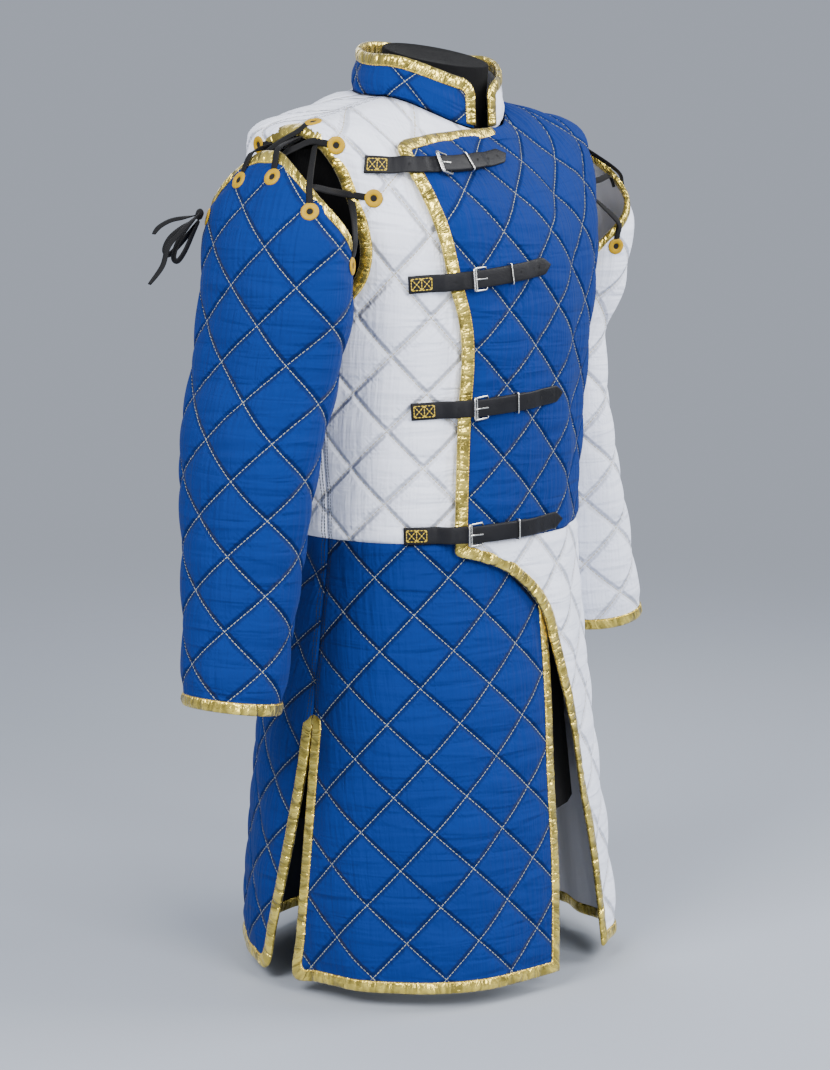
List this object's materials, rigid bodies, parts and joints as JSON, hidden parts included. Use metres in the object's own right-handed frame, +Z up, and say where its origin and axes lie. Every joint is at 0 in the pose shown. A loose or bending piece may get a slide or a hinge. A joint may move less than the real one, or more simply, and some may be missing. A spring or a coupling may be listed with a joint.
{
  "type": "quilted gambeson on a dress form",
  "caption": "Quartered quilted coat with bound edges, strap closure, standing collar and laced-on sleeves, worn by a limbless dress form on a stand.",
  "frame": {"origin": "centre of the underside of the stand's base, on the floor", "axes": "+Z up along the stand's pole, +X to the wearer's left, -Y to the front of the coat"},
  "size_m": [0.7427, 0.3916, 1.0326],
  "materials": {
    "blue_quilting": "quilted cotton drill, matt",
    "white_quilting": "quilted cotton drill, matt",
    "gold_lame": "crumpled lame tape, shiny",
    "leather": "black grained strap leather",
    "nickel_wire": "nickel plated wire",
    "black_lace": "flat woven lace",
    "black_jersey": "stretched knitted jersey",
    "stand_enamel": "satin black enamel",
    "stand_steel": "brushed steel tube"
  },
  "bodies": {
    "root": {"back_left_skirt": "white_quilting", "back_left_upper": "blue_quilting", "back_right_skirt": "blue_quilting", "back_right_upper": "white_quilting", "binding_armhole_left": "gold_lame", "binding_armhole_right": "gold_lame", "binding_back": "gold_lame", "binding_collar_left": "gold_lame", "binding_collar_right": "gold_lame", "binding_cuff_left": "gold_lame", "binding_cuff_right": "gold_lame", "binding_front_left": "gold_lame", "binding_front_right": "gold_lame", "binding_sleeve_head_left": "gold_lame", "binding_sleeve_head_right": "gold_lame", "bow_knot_left": "black_lace", "bow_knot_right": "black_lace", "bow_loop_left_1": "black_lace", "bow_loop_left_2": "black_lace", "bow_loop_right_1": "black_lace", "bow_loop_right_2": "black_lace", "buckle_1": "nickel_wire", "buckle_2": "nickel_wire", "buckle_3": "nickel_wire", "buckle_4": "nickel_wire", "chape_1": "leather", "chape_2": "leather", "chape_3": "leather", "chape_4": "leather", "collar_left": "white_quilting", "collar_right": "blue_quilting", "dress_form": "black_jersey", "front_left_skirt": "white_quilting", "front_left_upper": "blue_quilting", "front_right_skirt": "blue_quilting", "front_right_upper": "white_quilting", "keeper_1": "nickel_wire", "keeper_2": "nickel_wire", "keeper_3": "nickel_wire", "keeper_4": "nickel_wire", "lace_end_left_1": "black_lace", "lace_end_left_2": "black_lace", "lace_end_right_1": "black_lace", "lace_end_right_2": "black_lace", "lace_left": "black_lace", "lace_right": "black_lace", "sleeve_left": "white_quilting", "sleeve_right": "blue_quilting", "stand_base": "stand_enamel", "stand_pole": "stand_steel", "strap_1": "leather", "strap_2": "leather", "strap_3": "leather", "strap_4": "leather"}
  },
  "joints": []
}
